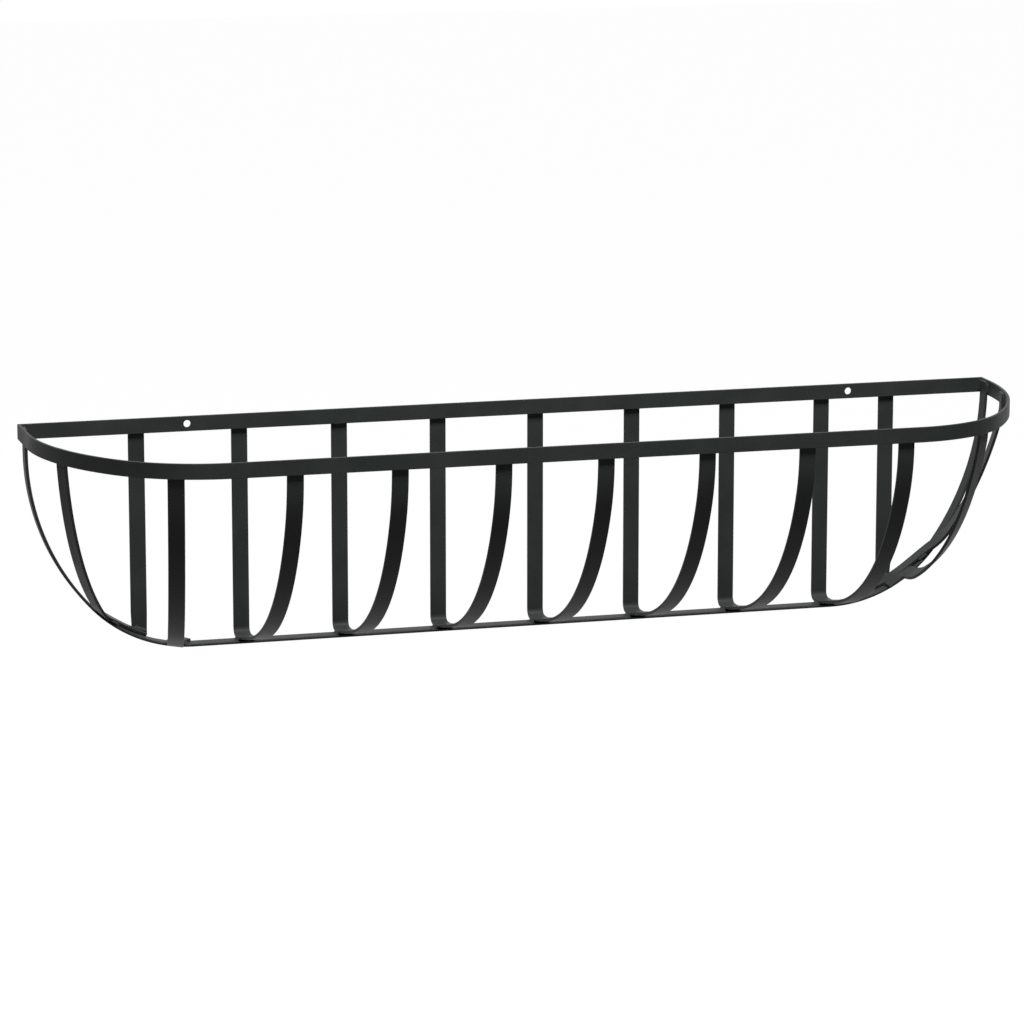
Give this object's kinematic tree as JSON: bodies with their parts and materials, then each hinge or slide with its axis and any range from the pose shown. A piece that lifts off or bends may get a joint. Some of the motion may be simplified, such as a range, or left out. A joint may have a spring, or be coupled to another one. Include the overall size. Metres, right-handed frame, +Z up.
{
  "type": "window box planter",
  "caption": "Boat-shaped hay-rack window basket of welded black flat bar, hung on a wall by two screws through its back rail.",
  "frame": {"origin": "midway between the two screw holes, on the back face of the back rail", "axes": "+X along the wall to the viewer's right, +Y into the wall, +Z up; the basket stands out towards -Y"},
  "size_m": [1, 0.255, 0.2269],
  "materials": {
    "powder_coat_black": "satin black powder coat on steel flat bar",
    "weld_bead_black": "weld bead under the same satin black powder coat"
  },
  "bodies": {
    "root": {"back_rail": "powder_coat_black", "front_hoop": "powder_coat_black", "keel_strap": "powder_coat_black", "rib_1": "powder_coat_black", "rib_2": "powder_coat_black", "rib_3": "powder_coat_black", "rib_4": "powder_coat_black", "rib_5": "powder_coat_black", "rib_6": "powder_coat_black", "rib_7": "powder_coat_black", "end_upright_left": "powder_coat_black", "end_upright_right": "powder_coat_black", "side_rib_left": "powder_coat_black", "side_rib_right": "powder_coat_black", "corner_rib_left": "powder_coat_black", "corner_rib_right": "powder_coat_black", "rim_corner_welds": "weld_bead_black", "keel_end_welds": "weld_bead_black", "rib_hoop_welds": "weld_bead_black", "rib_keel_welds": "weld_bead_black", "rib_rail_welds": "weld_bead_black", "end_foot_welds": "weld_bead_black", "end_rib_hoop_welds": "weld_bead_black"}
  },
  "joints": []
}
